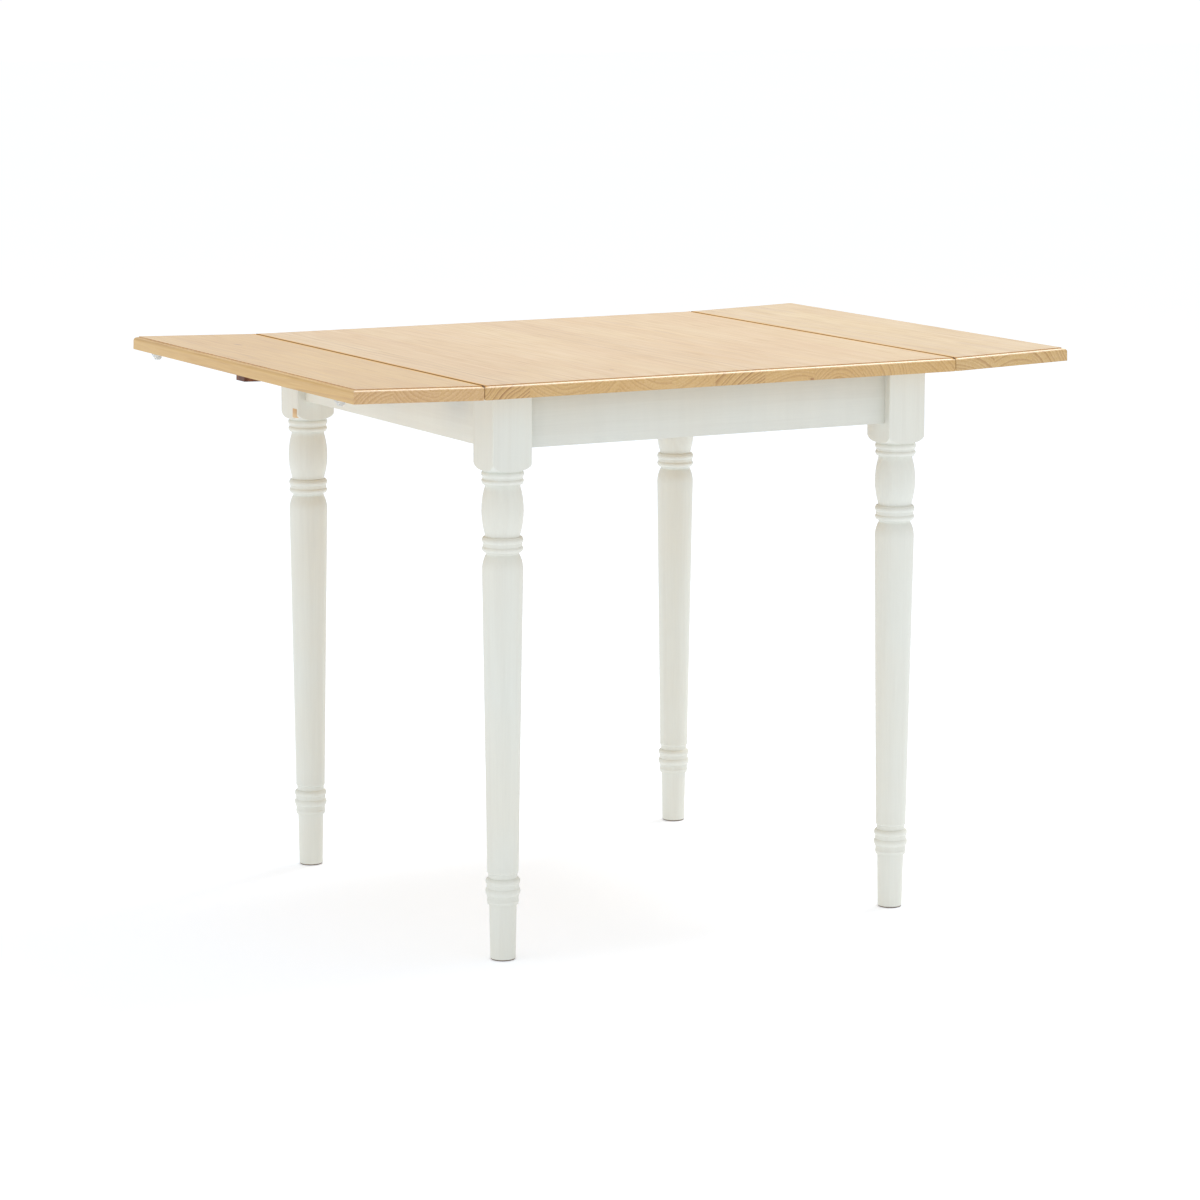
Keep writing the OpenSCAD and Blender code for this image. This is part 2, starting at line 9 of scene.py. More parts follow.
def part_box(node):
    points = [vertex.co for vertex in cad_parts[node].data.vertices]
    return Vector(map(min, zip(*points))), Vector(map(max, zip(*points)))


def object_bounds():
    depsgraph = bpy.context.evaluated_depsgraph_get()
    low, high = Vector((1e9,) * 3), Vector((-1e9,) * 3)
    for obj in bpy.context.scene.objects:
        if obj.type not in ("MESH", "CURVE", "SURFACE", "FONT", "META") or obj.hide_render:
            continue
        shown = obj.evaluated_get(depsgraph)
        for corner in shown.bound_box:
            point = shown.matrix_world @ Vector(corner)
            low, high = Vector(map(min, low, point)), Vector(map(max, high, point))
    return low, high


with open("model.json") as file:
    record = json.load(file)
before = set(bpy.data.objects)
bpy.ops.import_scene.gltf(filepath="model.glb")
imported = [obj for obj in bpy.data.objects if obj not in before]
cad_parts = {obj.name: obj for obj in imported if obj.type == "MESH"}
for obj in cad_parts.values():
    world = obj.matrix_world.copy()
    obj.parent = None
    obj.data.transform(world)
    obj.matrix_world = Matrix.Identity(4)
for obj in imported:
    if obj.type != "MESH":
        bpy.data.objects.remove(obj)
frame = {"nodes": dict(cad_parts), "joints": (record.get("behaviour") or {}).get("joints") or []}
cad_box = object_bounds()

# Drop-leaf table: honey pine top and two leaves over white painted aprons and turned
# legs, with bronzed steel hinges and leaf stays. Metres; X along the opened table, Y to
# the back, Z up. The grain of the top and the leaves runs along Y.

TOP_LOW, TOP_HIGH = (Vector(corner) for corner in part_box("centre_top"))
HINGES = {
    joint["child"]: Vector(joint["pos_m"]) for joint in frame["joints"] if "fold" in joint["name"]
}
HINGE_LINE = abs(HINGES["left_leaf"].x)     # distance of both hinge joints from the middle
LEAF_RISE = radians(1.6)                    # tilt of a raised leaf
MOULDING = 0.0056                           # width of the moulded edge
QUIRK = 0.0011                              # depth of its step


def linear(red, green, blue):
    """Scene-linear RGBA of an sRGB colour given from 0 to 255."""
    def one(c):
        c /= 255
        return c / 12.92 if c <= 0.04045 else ((c + 0.055) / 1.055) ** 2.4
    return one(red), one(green), one(blue), 1.0


# ---- shader graphs ----

class Graph:
    """Short names for building one material's nodes."""

    def __init__(self, name):
        self.material = bpy.data.materials.new(name)
        self.material.use_nodes = True
        self.tree = self.material.node_tree
        self.tree.nodes.clear()
        self.shader = self.tree.nodes.new("ShaderNodeBsdfPrincipled")
        output = self.tree.nodes.new("ShaderNodeOutputMaterial")
        self.tree.links.new(self.shader.outputs[0], output.inputs["Surface"])
        self.here = self.new("ShaderNodeTexCoord").outputs["Object"]

    def new(self, kind, **settings):
        node = self.tree.nodes.new(kind)
        for key, value in settings.items():
            setattr(node, key, value)
        return node

    def put(self, socket, value):
        if isinstance(value, bpy.types.NodeSocket):
            self.tree.links.new(value, socket)
        elif value is not None:
            socket.default_value = value

    def set(self, **values):
        """Sets or links the shader's inputs, such as base_color or coat_weight."""
        for key, value in values.items():
            name = key.replace("_", " ").title().replace("Ior", "IOR")
            self.put(self.shader.inputs[name], value)

    def math(self, operation, a, b=None, c=None):
        node = self.new("ShaderNodeMath", operation=operation)
        for socket, value in zip(node.inputs, (a, b, c)):
            self.put(socket, value)
        return node.outputs[0]

    def vector(self, operation, a, b=None, scale=None):
        node = self.new("ShaderNodeVectorMath", operation=operation)
        self.put(node.inputs[0], a)
        self.put(node.inputs[1], b)
        if scale is not None:
            self.put(node.inputs["Scale"], scale)
        return node.outputs["Value" if operation == "LENGTH" else "Vector"]

    def split(self, vector):
        node = self.new("ShaderNodeSeparateXYZ")
        self.put(node.inputs[0], vector)
        return node.outputs

    def join(self, x, y, z):
        node = self.new("ShaderNodeCombineXYZ")
        for socket, value in zip(node.inputs, (x, y, z)):
            self.put(socket, value)
        return node.outputs[0]

    def fit(self, value, low, high, out_low=0.0, out_high=1.0, smooth=False):
        """Maps value from low..high to out_low..out_high, held at the ends."""
        kind = "SMOOTHSTEP" if smooth else "LINEAR"
        node = self.new("ShaderNodeMapRange", interpolation_type=kind)
        for name, v in (("Value", value), ("From Min", low), ("From Max", high),
                        ("To Min", out_low), ("To Max", out_high)):
            self.put(node.inputs[name], v)
        return node.outputs[0]

    def noise(self, at, scale, detail=2.0, roughness=0.5, distortion=0.0):
        node = self.new("ShaderNodeTexNoise")
        self.put(node.inputs["Vector"], at)
        for name, v in (("Scale", scale), ("Detail", detail), ("Roughness", roughness),
                        ("Distortion", distortion)):
            node.inputs[name].default_value = v
        return node.outputs["Fac"]

    def noise_of(self, value, scale):
        """One-dimensional noise that depends on value."""
        node = self.new("ShaderNodeTexNoise", noise_dimensions="1D")
        self.put(node.inputs["W"], value)
        node.inputs["Scale"].default_value = scale
        return node.outputs["Fac"]

    def sway(self, noise, reach, base):
        """base plus reach times how far noise is from its middle value."""
        return self.math("MULTIPLY_ADD", self.math("SUBTRACT", noise, 0.5), reach, base)

    def mix(self, share, a, b):
        node = self.new("ShaderNodeMix", data_type="RGBA")
        self.put(node.inputs["Factor"], share)
        self.put(node.inputs["A"], a)
        self.put(node.inputs["B"], b)
        return node.outputs["Result"]

    def tint(self, colour, mask, share, shade):
        """colour, turned by share towards the sRGB colour shade where mask is 1."""
        return self.mix(self.math("MULTIPLY", mask, share), colour, linear(*shade))

    def band(self, value, middle, half, soft):
        """1 where value is within half of middle, and 0 beyond half + soft."""
        away = self.math("ABSOLUTE", self.math("SUBTRACT", value, middle))
        return self.fit(away, half, half + soft, 1.0, 0.0, smooth=True)

    def bump(self, height, strength, distance):
        node = self.new("ShaderNodeBump")
        node.inputs["Strength"].default_value = strength
        node.inputs["Distance"].default_value = distance
        self.put(node.inputs["Height"], height)
        self.put(self.shader.inputs["Normal"], node.outputs[0])


# ---- growth rings, of both kinds of pine ----

RING_SPACING = 0.0046                       # mean width of a year in the boards
RING_WOBBLE = 0.007                         # how far a ring strays from round, either way
FINE_WOBBLE = 0.0011                        # the same of its fine waver, both ways together
YEAR_SPREAD = 0.007                         # how unevenly wide the years are


def rings(g, x, y, z, wobble=RING_WOBBLE, spacing=RING_SPACING, swell=None):
    """Growth rings about a pith along y at x = z = 0: 0 in pale wood, 1 in a dark ring.
    swell pushes the rings outwards, as round a knot."""
    slow = g.noise(g.join(x, g.math("MULTIPLY", y, 0.14), z), 17.0)
    fine = g.noise(g.join(x, g.math("MULTIPLY", y, 0.1), z), 140.0, detail=1.0)
    square = g.math("ADD", g.math("MULTIPLY", x, x), g.math("MULTIPLY", z, z))
    radius = g.math("SQRT", square)
    radius = g.sway(slow, wobble * 2, radius)
    radius = g.sway(fine, FINE_WOBBLE, radius)
    radius = g.math("MULTIPLY_ADD", g.noise_of(radius, 90.0), YEAR_SPREAD, radius)
    if swell is not None:
        radius = g.math("ADD", radius, swell)
    years = g.math("DIVIDE", radius, spacing)

    # Each year darkens slowly outwards and ends sharply, some years more than others
    season = g.math("FRACT", years)
    rise = g.math("POWER", season, 2.2)
    drop = g.fit(season, 0.9, 1.0, 1.0, 0.0, smooth=True)
    weight = g.fit(g.noise_of(g.math("FLOOR", years), 0.73), 0.3, 0.65, 0.35, 1.1)
    return g.math("MULTIPLY", g.math("MULTIPLY", rise, drop), weight)


# ---- honey pine ----

# X where a stave starts, X and height of its pith, and how strong its rings are
Stave = namedtuple("Stave", "start pith height strength")
# X, Y, greatest height and half width of a knot
Knot = namedtuple("Knot", "x y top half")
# sRGB colours of a board: pale wood, amber wood, late wood and end grain
Tint = namedtuple("Tint", "pale amber late end")

LAST_STAVE = 0.08                           # room for the last stave of a board
PATTERN_SPREAD = 37.0                       # staves take their patterns up to this far apart
HEART = (148, 92, 48)                       # middle of a knot
STEP_SHADE = (204, 154, 104)                    # painted shade in the step of the moulding
PAINTED_HIGHLIGHT = (238, 218, 190)                    # painted highlight on the round of the moulding
STAIN_AND_GAP_SHADE = (226, 164, 36)                      # lacquer beside a hinge joint, darkened further as painted shade of the gap
DARK_JOINT_AND_SHADE = (92, 58, 18)                        # dark line of a hinge joint: darker lacquer, and painted shade of the gap
STAIN_SHADE_HALF, STAIN_SHADE_SOFT = 0.0018, 0.006      # half width of the stain and painted shade, and its fade
JOINT_HALF, JOINT_SOFT = 0.0019, 0.0012     # the same of the line
COAT = 0.5                                  # weight of the lacquer's clear coat


def square_to_leaf(g, at, side):
    """Turns the place at so that the raised leaf of a side, -1 or 1, lies level."""
    turn = g.new("ShaderNodeVectorRotate", rotation_type="Y_AXIS")
    g.put(turn.inputs["Vector"], at)
    turn.inputs["Center"].default_value = HINGES["left_leaf" if side < 0 else "right_leaf"]
    turn.inputs["Angle"].default_value = side * LEAF_RISE
    return turn.outputs[0]


def stave_at(g, x, staves):
    """The stave at x: a number of its own from 0 to 1, the X of its pith, the height of
    its pith above the middle of the board, and the strength of its rings."""
    low, high = staves[0].start, staves[-1].start + LAST_STAVE
    ramp = g.new("ShaderNodeValToRGB")
    ramp.color_ramp.interpolation = "CONSTANT"
    stops = ramp.color_ramp.elements
    while len(stops) < len(staves):
        stops.new(1.0)

    # The ramp's colours hold the numbers, with heights half a metre up to stay above 0
    for stop, stave in zip(stops, staves):
        stop.position = max(0.0, (stave.start - low) / (high - low))
        stop.color = ((stave.pith - low) / (high - low), stave.height + 0.5, stave.strength, 1.0)
    g.put(ramp.inputs[0], g.fit(x, low, high))
    own, height, strength = g.split(ramp.outputs["Color"])
    pith = g.fit(own, 0.0, 1.0, low, high)
    return own, pith, g.math("SUBTRACT", height, 0.5), strength


def knots_at(g, x, y, z, knots):
    """How far knots push the rings outwards, and a mask of their hearts."""
    swell, heart = 0.0, 0.0
    for knot in knots:
        along = g.math("MULTIPLY", g.math("SUBTRACT", y, knot.y), 0.4)
        away = g.vector("LENGTH", g.join(g.math("SUBTRACT", x, knot.x), along, 0.0))
        away = g.math("ADD", away, g.fit(z, knot.top - 0.002, knot.top + 0.003, 0.0, 0.03))
        push = g.fit(away, knot.half, knot.half * 4, 1.0, 0.0, smooth=True)
        swell = g.math("MULTIPLY_ADD", push, knot.half * 1.6, swell)
        core = g.fit(away, knot.half * 0.5, knot.half * 1.3, 1.0, 0.0, smooth=True)
        heart = g.math("MAXIMUM", heart, core)
    return swell, heart


def pine_board(name, staves, knots, tint, leaf=0):
    """Lacquered pine, edge-glued from staves that run along Y. leaf is -1 or 1 on a
    leaf, whose pattern is laid out square to its raised face."""
    g = Graph(name)
    at = square_to_leaf(g, g.here, leaf) if leaf else g.here
    x, y, z = g.split(at)
    own, pith, height, strength = stave_at(g, x, staves)
    seed = g.math("MULTIPLY", own, PATTERN_SPREAD)
    swell, heart = knots_at(g, x, y, z, knots)
    middle = (TOP_LOW.z + TOP_HIGH.z) / 2
    from_pith = g.math("SUBTRACT", x, pith)
    above_pith = g.math("SUBTRACT", g.math("SUBTRACT", z, middle), height)
    ring = rings(g, from_pith, g.math("ADD", y, seed), above_pith, swell=swell)
    facing = g.split(g.new("ShaderNodeTexCoord").outputs["Normal"])
    end_grain = g.fit(g.math("ABSOLUTE", facing[1]), 0.45, 0.8, smooth=True)
    upright = g.fit(g.math("ABSOLUTE", facing[2]), 0.3, 0.7, 1.0, 0.0, smooth=True)

    def drawn(along, scale, **kind):
        """Noise drawn out along the grain, the longer the smaller along is."""
        place = g.join(g.math("ADD", x, seed), g.math("MULTIPLY", y, along), z)
        return g.noise(place, scale, **kind)

    fibre = drawn(0.035, 620.0, detail=3.0, roughness=0.6)
    fleck = g.fit(drawn(0.022, 460.0, detail=1.0, roughness=0.4), 0.56, 0.7, smooth=True)
    streak = drawn(0.024, 330.0, roughness=0.55)
    cloud = drawn(0.3, 9.0)
    shade = g.noise(g.join(seed, 0.0, 0.0), 5.0, detail=0.0)

    # Rings show most on end grain
    contrast = g.math("MULTIPLY", strength, g.fit(end_grain, 0.0, 1.0, 0.6, 1.15))
    colour = g.mix(g.fit(cloud, 0.3, 0.7), linear(*tint.pale), linear(*tint.amber))
    colour = g.tint(colour, end_grain, 0.4, tint.end)
    colour = g.tint(colour, ring, contrast, tint.late)
    colour = g.tint(colour, heart, 0.6, HEART)

    # Lightness of the fine grain, which is fainter on upright faces. Darker wood is redder.
    tone = g.sway(fibre, 0.42, 1.0)
    tone = g.sway(streak, g.fit(upright, 0.0, 1.0, 0.62, 0.14), tone)
    tone = g.sway(shade, 0.12, tone)
    tone = g.math("MULTIPLY_ADD", fleck, g.fit(upright, 0.0, 1.0, -0.22, -0.06), tone)
    tone = g.math("MULTIPLY_ADD", upright, -0.03, tone)
    tone = g.math("MULTIPLY_ADD", end_grain, -0.01, tone)
    warm = g.join(*(g.math("POWER", tone, power) for power in (0.7, 1.15, 2.8)))
    colour = g.vector("MULTIPLY", colour, warm)

    # The step of the moulding is darkened with painted shade, and the round of the moulding
    # on the front and back edges is lightened with a painted highlight. The lacquer is darker
    # along the hinge joints, and painted shade of the gap darkens them further.
    top = TOP_HIGH.z
    # Painted shade on the upright wall of the moulding's step
    quirk = g.math("MULTIPLY", g.fit(z, top - QUIRK * 1.3, top - QUIRK * 0.9), upright)
    colour = g.tint(colour, quirk, 0.6, STEP_SHADE)
    # Painted highlight on the round of the moulding, on the front and back edges only
    edge = g.math("SUBTRACT", TOP_HIGH.y, g.math("ABSOLUTE", y))
    highlight = g.math("MULTIPLY", g.fit(edge, MOULDING, MOULDING * 0.8),
                    g.fit(z, top - 0.004, top - 0.002))
    highlight = g.math("MULTIPLY", highlight, g.math("SUBTRACT", 1.0, quirk))
    colour = g.tint(colour, highlight, 0.4, PAINTED_HIGHLIGHT)
    # Lacquer stain and dark line along each hinge joint, darkened further as painted shade of the
    # gap
    near_top = g.fit(z, top - 0.0035, top - 0.0015)
    face = g.math("MULTIPLY", g.math("SUBTRACT", 1.0, end_grain), near_top)
    aside = g.math("ABSOLUTE", x)
    stain_and_shade = g.math("MULTIPLY", g.band(aside, HINGE_LINE, STAIN_SHADE_HALF, STAIN_SHADE_SOFT), face)
    colour = g.tint(colour, stain_and_shade, 0.8, STAIN_AND_GAP_SHADE)
    joint = g.math("MULTIPLY", g.band(aside, HINGE_LINE, JOINT_HALF, JOINT_SOFT), face)
    colour = g.mix(joint, colour, linear(*DARK_JOINT_AND_SHADE))

    gloss = g.math("MULTIPLY_ADD", fibre, 0.16, 0.27)
    gloss = g.math("MULTIPLY_ADD", ring, -0.05, gloss)
    gloss = g.math("MULTIPLY_ADD", stain_and_shade, 0.45, gloss)
    g.set(base_color=colour, roughness=gloss, ior=1.5, coat_roughness=0.28,
          coat_weight=g.math("MULTIPLY_ADD", stain_and_shade, -COAT, COAT))
    relief = g.math("MULTIPLY_ADD", ring, 0.35, g.math("MULTIPLY", fibre, 0.65))
    g.bump(relief, strength=0.13, distance=0.0002)
    return g.material


CENTRE_STAVES = (
    Stave(-0.350, -0.235, -0.105, 1.05), Stave(-0.289, -0.228, 0.055, 0.42),
    Stave(-0.216, -0.232, 0.060, 0.35), Stave(-0.160, -0.085, 0.085, 0.38),
    Stave(-0.083, -0.095, 0.075, 0.34), Stave(-0.019, 0.100, -0.110, 1.0),
    Stave(0.055, 0.105, -0.100, 0.40), Stave(0.128, 0.168, -0.034, 0.62),
    Stave(0.203, 0.160, -0.045, 0.50), Stave(0.277, 0.190, -0.150, 0.35),
)
LEFT_STAVES = (
    Stave(-0.531, -0.468, -0.048, 0.62), Stave(-0.477, -0.418, 0.046, 0.50),
    Stave(-0.414, -0.420, 0.050, 0.38),
)
RIGHT_STAVES = (
    Stave(0.350, 0.290, -0.075, 0.65), Stave(0.412, 0.450, -0.090, 0.45),
    Stave(0.472, 0.425, -0.065, 0.70),
)
LEFT_KNOTS = (Knot(-0.438, 0.208, 0.78, 0.0045),)
CENTRE_KNOTS = (Knot(-0.122, -0.268, 0.78, 0.0025), Knot(0.127, -0.355, 0.737, 0.003))
CENTRE_TINT = Tint((219, 187, 134), (212, 174, 118), (151, 98, 46), (206, 167, 106))
LEFT_TINT = Tint((213, 174, 100), (206, 163, 88), (158, 102, 44), (220, 192, 168))
RIGHT_TINT = Tint((217, 190, 142), (210, 178, 126), (154, 102, 50), (208, 171, 112))


# ---- bare pine ----

def raw_pine(name, degrees):
    """Bare pine whose grain runs along X turned by degrees about Z."""
    pale, late = (222, 190, 146), (178, 128, 76)
    pith_across, pith_z = 0.24, TOP_LOW.z - 0.11
    g = Graph(name)
    rotate = g.new("ShaderNodeVectorRotate", rotation_type="Z_AXIS")
    g.put(rotate.inputs["Vector"], g.here)
    rotate.inputs["Angle"].default_value = -radians(degrees)
    along, across, z = g.split(rotate.outputs[0])
    ring = rings(g, g.math("SUBTRACT", across, pith_across), along,
                 g.math("SUBTRACT", z, pith_z), wobble=0.006, spacing=0.0042)
    place = g.join(g.math("MULTIPLY", along, 0.04), across, z)
    fibre = g.noise(place, 560.0, detail=3.0, roughness=0.6)
    colour = g.tint(linear(*pale), ring, 0.55, late)
    colour = g.vector("SCALE", colour, scale=g.fit(fibre, 0.25, 0.75, 0.9, 1.06))
    g.set(base_color=colour, roughness=g.fit(fibre, 0.3, 0.7, 0.62, 0.8))
    g.bump(fibre, strength=0.35, distance=0.00025)
    return g.material


# ---- white paint ----

def white_paint(name, axis, tone):
    """Brushed satin paint over pine, whose grain shows faintly along axis (0, 1 or 2).
    tone scales its lightness, and so paints light and shade: each piece is a lit or shaded copy
    of one paint."""
    cool, warm, ridge = (227, 229, 221), (228, 228, 218), (214, 211, 200)
    g = Graph(name)
    stretch = [1.0, 1.0, 1.0]
    stretch[axis] = 0.03
    drawn = g.vector("MULTIPLY", g.here, tuple(stretch))
    brush = g.noise(drawn, 420.0, detail=3.0, roughness=0.62)
    coarse = g.noise(drawn, 95.0, distortion=0.2)
    cloud = g.noise(g.here, 6.5)
    lines = g.math("POWER", g.fit(coarse, 0.34, 0.62, smooth=True), 2.0)
    colour = g.mix(g.fit(cloud, 0.35, 0.65), linear(*cool), linear(*warm))
    colour = g.tint(colour, lines, 0.14, ridge)
    shade = g.fit(brush, 0.25, 0.75, 0.98 * tone, 1.02 * tone)
    if axis < 2:
        # Strokes of the brush, drawn out up and down an apron
        strokes = g.noise(g.vector("MULTIPLY", g.here, (1.0, 1.0, 0.06)), 75.0)
        shade = g.sway(strokes, 0.05, shade)
    colour = g.vector("SCALE", colour, scale=shade)
    g.set(base_color=colour, roughness=g.fit(brush, 0.3, 0.7, 0.42, 0.58), ior=1.45)
    g.bump(g.math("MULTIPLY_ADD", lines, -0.5, brush), strength=0.2, distance=0.0002)
    return g.material


# ---- metal and plastic ----

def bronzed_steel():
    dark, brown, worn = (74, 42, 34), (120, 76, 56), (160, 112, 84)
    g = Graph("bronzed_steel")
    blotch = g.noise(g.here, 210.0, detail=3.0, roughness=0.6)
    grain = g.noise(g.here, 1900.0)
    rub = g.fit(g.noise(g.here, 75.0), 0.52, 0.68, smooth=True)
    colour = g.mix(g.fit(blotch, 0.3, 0.7), linear(*dark), linear(*brown))
    colour = g.tint(colour, rub, 0.5, worn)
    g.set(base_color=colour, metallic=g.fit(rub, 0.0, 1.0, 0.7, 0.92))
    g.set(roughness=g.fit(blotch, 0.3, 0.7, 0.32, 0.5))
    g.bump(grain, strength=0.15, distance=0.0001)
    return g.material


def zinc_steel():
    dull, bright = (186, 188, 190), (206, 207, 206)
    g = Graph("zinc_steel")
    spangle = g.new("ShaderNodeTexVoronoi")
    g.put(spangle.inputs["Vector"], g.here)
    spangle.inputs["Scale"].default_value = 520.0
    tone = g.split(spangle.outputs["Color"])[0]
    smear = g.noise(g.here, 260.0, detail=3.0, roughness=0.6)
    g.set(base_color=g.mix(tone, linear(*dull), linear(*bright)), metallic=1.0)
    g.set(roughness=g.fit(smear, 0.3, 0.7, 0.26, 0.44))
    g.bump(smear, strength=0.12, distance=0.0001)
    return g.material


def moulded_nylon(name, clean, scuffed):
    g = Graph(name)
    speck = g.noise(g.here, 900.0, roughness=0.6)
    scuff = g.noise(g.here, 130.0, detail=3.0, roughness=0.65)
    g.set(base_color=g.mix(g.fit(scuff, 0.4, 0.7), linear(*clean), linear(*scuffed)))
    g.set(roughness=g.fit(scuff, 0.3, 0.7, 0.38, 0.6))
    g.bump(speck, strength=0.25, distance=0.0001)
    return g.material


def clear_silicone():
    cloudy, clear = (226, 228, 224), (240, 241, 238)
    g = Graph("clear_silicone")
    haze = g.noise(g.here, 340.0, roughness=0.55)
    g.set(base_color=g.mix(haze, linear(*cloudy), linear(*clear)))
    g.set(roughness=g.fit(haze, 0.3, 0.7, 0.25, 0.4), ior=1.41, transmission_weight=0.45)
    return g.material


# ---- surfaces of the CAD nodes ----

WELD = 0.000002                             # corners closer than this are one
SHARP = radians(28)                         # an edge that turns more stays sharp
APRON_ARRIS, BLOCK_ARRIS, PLUG_ARRIS = 0.0008, 0.001, 0.0003

# Material of a CAD node and the rounding of its edges, by its whole name, or else by the
# first of these parts that its name holds
BY_NAME = {
    "centre_top": ("centre", 0), "left_leaf": ("left", 0), "right_leaf": ("right", 0),
    "front_apron": ("shaded_paint_x", APRON_ARRIS), "back_apron": ("shaded_paint_x", APRON_ARRIS),
    "left_apron": ("lit_paint_y", APRON_ARRIS), "right_apron": ("lit_paint_y", APRON_ARRIS),
    "leg_plug": ("raw_y", PLUG_ARRIS),
}
BY_PART = (
    ("_leg", ("paint_z", 0)), ("_glide", ("glide", 0)), ("_bumper", ("silicone", 0)),
    ("hanger", ("zinc", 0)), ("roller", ("nylon", 0)),
    ("front_left_corner_brace", ("raw_b", BLOCK_ARRIS)),
    ("back_right_corner_brace", ("raw_b", BLOCK_ARRIS)),
    ("_corner_brace", ("raw_a", BLOCK_ARRIS)),
    ("front_top_cleat", ("raw_x", BLOCK_ARRIS)), ("back_top_cleat", ("raw_x", BLOCK_ARRIS)),
    ("_top_cleat", ("raw_y", BLOCK_ARRIS)),
)


def make_materials():
    return {
        "centre": pine_board("honey_pine_centre", CENTRE_STAVES, CENTRE_KNOTS, CENTRE_TINT),
        "left": pine_board("honey_pine_left", LEFT_STAVES, LEFT_KNOTS, LEFT_TINT, -1),
        "right": pine_board("honey_pine_right", RIGHT_STAVES, (), RIGHT_TINT, 1),
        # Lit and shaded copies of the white paint: tone paints the aprons along X darker and
        # those along Y lighter
        "shaded_paint_x": white_paint("white_paint_x", 0, 0.89),
        "lit_paint_y": white_paint("white_paint_y", 1, 1.06),
        "paint_z": white_paint("white_paint_z", 2, 0.96),
        "raw_x": raw_pine("raw_pine_x", 0),
        "raw_y": raw_pine("raw_pine_y", 90),
        "raw_a": raw_pine("raw_pine_a", 45),
        "raw_b": raw_pine("raw_pine_b", -45),
        "bronze": bronzed_steel(),
        "zinc": zinc_steel(),
        "nylon": moulded_nylon("dark_nylon", (38, 35, 33), (62, 58, 54)),
        "glide": moulded_nylon("brown_nylon", (96, 80, 66), (124, 108, 92)),
        "silicone": clear_silicone(),
    }


def finish_of(name):
    """The material of a CAD node, and how far its edges are rounded."""
    if name in BY_NAME:
        return BY_NAME[name]
    for part, finish in BY_PART:
        if part in name:
            return finish
    return "bronze", 0


def smoothing():
    """Geometry nodes that join a mesh's split corners and shade its curved faces smooth."""
    tree = bpy.data.node_groups.new("smooth_by_angle", "GeometryNodeTree")
    for way in ("INPUT", "OUTPUT"):
        tree.interface.new_socket("Geometry", in_out=way, socket_type="NodeSocketGeometry")
    entry, leave = tree.nodes.new("NodeGroupInput"), tree.nodes.new("NodeGroupOutput")
    weld = tree.nodes.new("GeometryNodeMergeByDistance")
    weld.inputs["Distance"].default_value = WELD
    faces = tree.nodes.new("GeometryNodeSetShadeSmooth")
    edges = tree.nodes.new("GeometryNodeSetShadeSmooth")
    edges.domain = "EDGE"
    edges.inputs["Shade Smooth"].default_value = False
    angle = tree.nodes.new("GeometryNodeInputMeshEdgeAngle")
    sharp = tree.nodes.new("FunctionNodeCompare")
    sharp.inputs["B"].default_value = SHARP
    for a, b in ((entry.outputs[0], weld.inputs[0]), (weld.outputs[0], faces.inputs[0]),
                 (faces.outputs[0], edges.inputs[0]), (edges.outputs[0], leave.inputs[0]),
                 (angle.outputs["Unsigned Angle"], sharp.inputs["A"]),
                 (sharp.outputs[0], edges.inputs["Selection"])):
        tree.links.new(a, b)
    return tree


def soften(piece, width):
    """Merges coplanar faces and rounds the sharp edges by width."""
    weld = piece.modifiers.new("weld", "WELD")
    weld.merge_threshold = WELD
    planes = piece.modifiers.new("planes", "DECIMATE")
    planes.decimate_type = "DISSOLVE"
    planes.angle_limit = radians(0.5)
    bevel = piece.modifiers.new("arris", "BEVEL")
    bevel.width = width
    bevel.segments = 2
    bevel.limit_method = "ANGLE"
    bevel.angle_limit = radians(35)
    bevel.use_clamp_overlap = True


def dress_nodes():
    materials, smooth = make_materials(), smoothing()
    for name, piece in frame["nodes"].items():
        kind, arris = finish_of(name)
        piece.data.materials.clear()
        piece.data.materials.append(materials[kind])
        if arris:
            soften(piece, arris)
        modifier = piece.modifiers.new("smooth", "NODES")
        modifier.node_group = smooth


# ---- studio ----

# Camera of the photograph: its place, its turn in degrees, and its framing
CAMERA_PLACE = (-2.58302, -4.73392, 1.32750)
CAMERA_YAW, CAMERA_PITCH, CAMERA_ROLL = 28.756, 8.048, 0.161
CAMERA_LENS, CAMERA_SENSOR = 119.582, 36
CAMERA_SHIFT = (-0.0039, -0.1)

FLOOR_HALF = 30
FLOOR_GAP = 0.0003                          # distance of the floor below the feet
FLOOR_DEEP, FLOOR_PALE = (0.84, 0.885, 0.95, 1), (0.86, 0.905, 0.97, 1)     # scene-linear
FLOOR_GLOW = 0.31                           # its own light, which keeps shadows pale

# Strength of the white surroundings as they light the table, and as the camera sees them
WORLD_LIGHT, WORLD_SEEN = 0.8, 1.02


def add_camera():
    yaw, pitch, roll = radians(CAMERA_YAW), radians(CAMERA_PITCH), radians(CAMERA_ROLL)
    forward = Vector((sin(yaw) * cos(pitch), cos(yaw) * cos(pitch), -sin(pitch)))
    level = Vector((cos(yaw), -sin(yaw), 0))
    rise = level.cross(forward)
    right = level * cos(roll) + rise * sin(roll)
    up = rise * cos(roll) - level * sin(roll)
    turned = Matrix((right, up, -forward)).transposed().to_4x4()
    camera = bpy.data.objects.new("camera", bpy.data.cameras.new("camera"))
    camera.matrix_world = Matrix.Translation(CAMERA_PLACE) @ turned
    camera.data.lens = CAMERA_LENS
    camera.data.sensor_width = CAMERA_SENSOR
    camera.data.shift_x, camera.data.shift_y = CAMERA_SHIFT
    camera.data.clip_end = 100
    bpy.context.scene.collection.objects.link(camera)
    bpy.context.scene.camera = camera


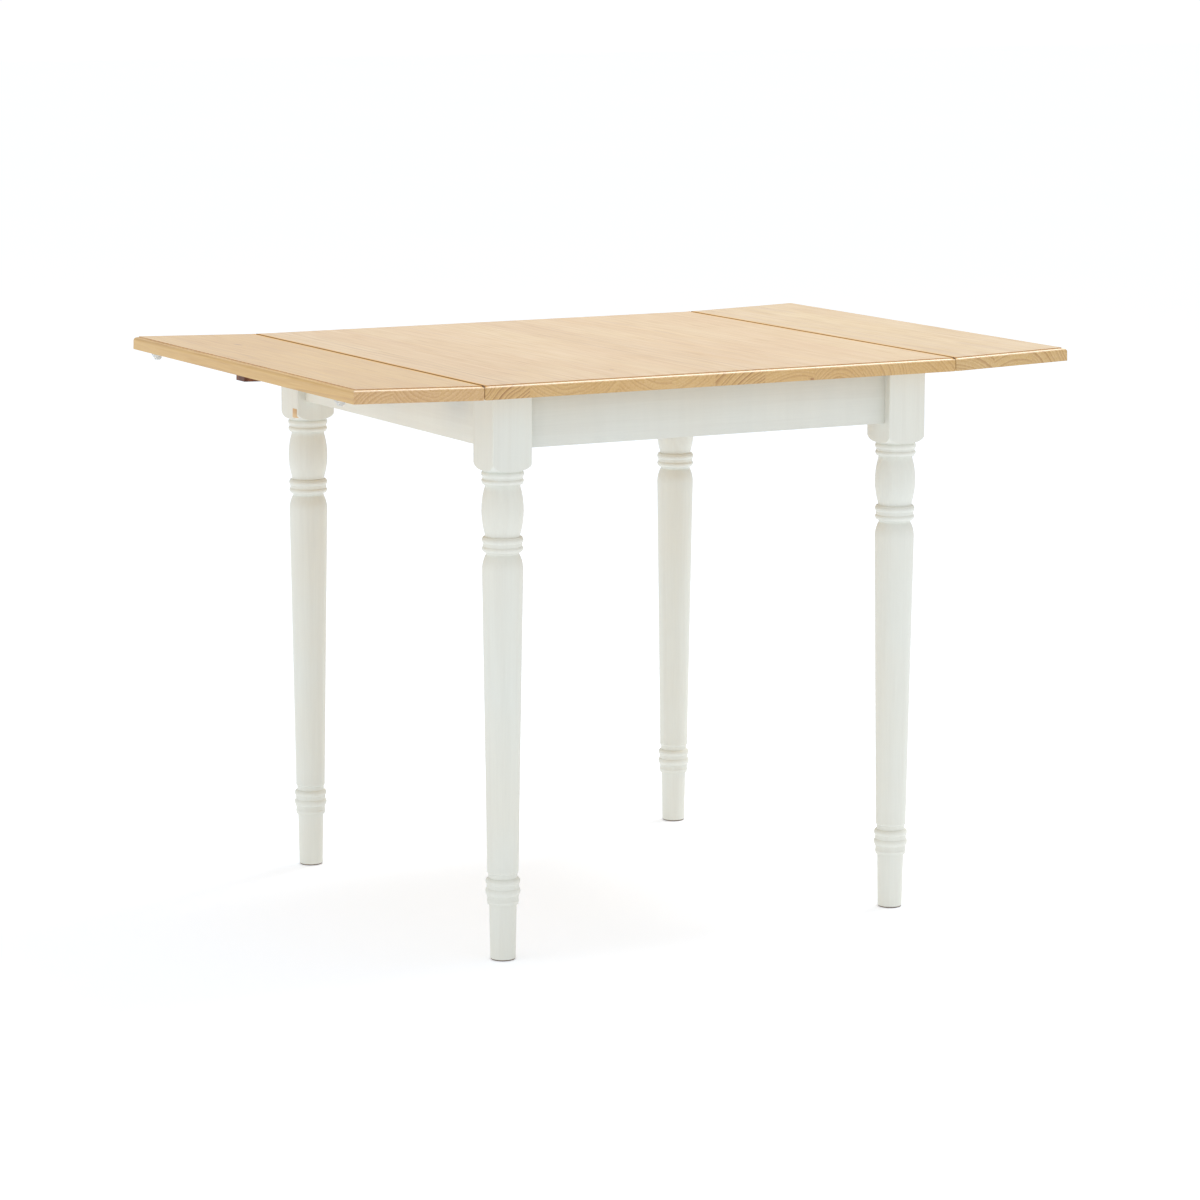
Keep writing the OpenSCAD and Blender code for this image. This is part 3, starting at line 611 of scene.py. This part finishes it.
def add_floor():
    mesh = bpy.data.meshes.new("floor")
    turns = ((-1, -1), (1, -1), (1, 1), (-1, 1))
    corners = [(x * FLOOR_HALF, y * FLOOR_HALF, 0) for x, y in turns]
    mesh.from_pydata(corners, [], [(0, 1, 2, 3)])
    floor = bpy.data.objects.new("floor", mesh)
    floor.location.z = cad_box[0][2] - FLOOR_GAP
    g = Graph("studio_floor")
    colour = g.mix(g.noise(g.here, 0.8), FLOOR_DEEP, FLOOR_PALE)
    g.set(base_color=colour, roughness=0.9, specular_ior_level=0.1)
    g.set(emission_color=(1, 1, 1, 1), emission_strength=FLOOR_GLOW)
    mesh.materials.append(g.material)
    bpy.context.scene.collection.objects.link(floor)


def add_area(name, place, aim, size, watts, colour):
    light = bpy.data.lights.new(name, "AREA")
    light.shape = "RECTANGLE"
    light.size, light.size_y = size
    light.energy = watts
    light.color = colour
    lamp = bpy.data.objects.new(name, light)
    lamp.location = place
    lamp.rotation_euler = (Vector(aim) - Vector(place)).to_track_quat("-Z", "Y").to_euler()
    bpy.context.scene.collection.objects.link(lamp)


def add_light():
    world = bpy.data.worlds.new("studio")
    bpy.context.scene.world = world
    world.use_nodes = True
    tree = world.node_tree
    tree.nodes.clear()
    output = tree.nodes.new("ShaderNodeOutputWorld")
    mix = tree.nodes.new("ShaderNodeMixShader")
    path = tree.nodes.new("ShaderNodeLightPath")
    tree.links.new(path.outputs["Is Camera Ray"], mix.inputs[0])
    for slot, strength in ((1, WORLD_LIGHT), (2, WORLD_SEEN)):
        back = tree.nodes.new("ShaderNodeBackground")
        back.inputs["Color"].default_value = (1, 1, 1, 1)
        back.inputs["Strength"].default_value = strength
        tree.links.new(back.outputs[0], mix.inputs[slot])
    tree.links.new(mix.outputs[0], output.inputs["Surface"])
    add_area("overhead", place=(1.9, 0.4, 4.0), aim=(0, 0, 0.7), size=(2.0, 2.0), watts=92,
             colour=(1.0, 0.99, 0.97))
    add_area("left_fill", place=(-4.2, 0.6, 1.1), aim=(0, 0, 0.5), size=(2.6, 1.8), watts=12,
             colour=(0.98, 0.99, 1.0))


add_camera()
add_floor()
add_light()
dress_nodes()
bpy.context.scene.view_settings.view_transform = "Standard"
